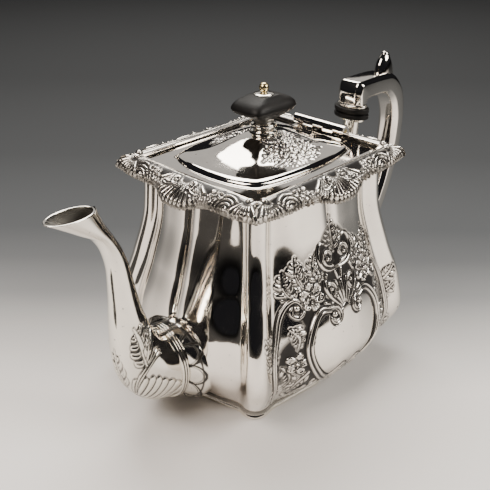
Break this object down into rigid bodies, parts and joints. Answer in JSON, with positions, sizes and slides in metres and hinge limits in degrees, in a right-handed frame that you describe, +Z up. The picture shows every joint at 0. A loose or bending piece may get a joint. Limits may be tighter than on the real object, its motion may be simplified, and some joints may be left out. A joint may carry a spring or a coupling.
{
  "type": "teapot",
  "caption": "Rectangular lobed silver teapot with a chased scroll border, hinged domed lid, swan-neck spout and a hollow handle on black insulating rings.",
  "frame": {"origin": "on the table, straight below the middle of the rim", "axes": "+X from the spout towards the handle, +Z up, +Y across the pot"},
  "size_m": [0.2568, 0.1284, 0.1616],
  "materials": {
    "silver": "polished",
    "chased_silver": "chased and oxidised in the recesses",
    "ebony": "satin"
  },
  "bodies": {
    "pot": {"body_shell": "silver", "foot_rim": "silver", "base_plate": "silver", "mouth_plate": "silver", "rim_wire": "silver", "gallery_spout_end": "chased_silver", "gallery_handle_end": "chased_silver", "gallery_front_side": "chased_silver", "gallery_back_side": "chased_silver", "body_hinge_leaf": "silver", "hinge_pin": "silver", "spout": "silver", "spout_cuff": "silver", "spout_flange": "silver", "upper_socket": "silver", "lower_socket": "silver", "upper_handle_collar": "silver", "upper_socket_collar": "silver", "lower_handle_collar": "silver", "lower_socket_collar": "silver", "handle": "silver", "thumb_rest": "silver", "insulator_pins": "silver", "upper_insulator": "ebony", "lower_insulator": "ebony"},
    "lid": {"lid_shell": "silver", "lid_bezel": "silver", "lid_hinge_leaf": "silver", "finial_collar": "silver", "finial_knob": "ebony", "finial_washer": "silver", "finial_screw": "silver", "finial_nut": "silver"}
  },
  "joints": [
    {"name": "lid_hinge", "type": "hinge", "parent": "pot", "child": "lid", "pos_m": [0.0474, 0, 0.1284], "axis": [0, 1, 0], "range_deg": [0, 105]}
  ]
}
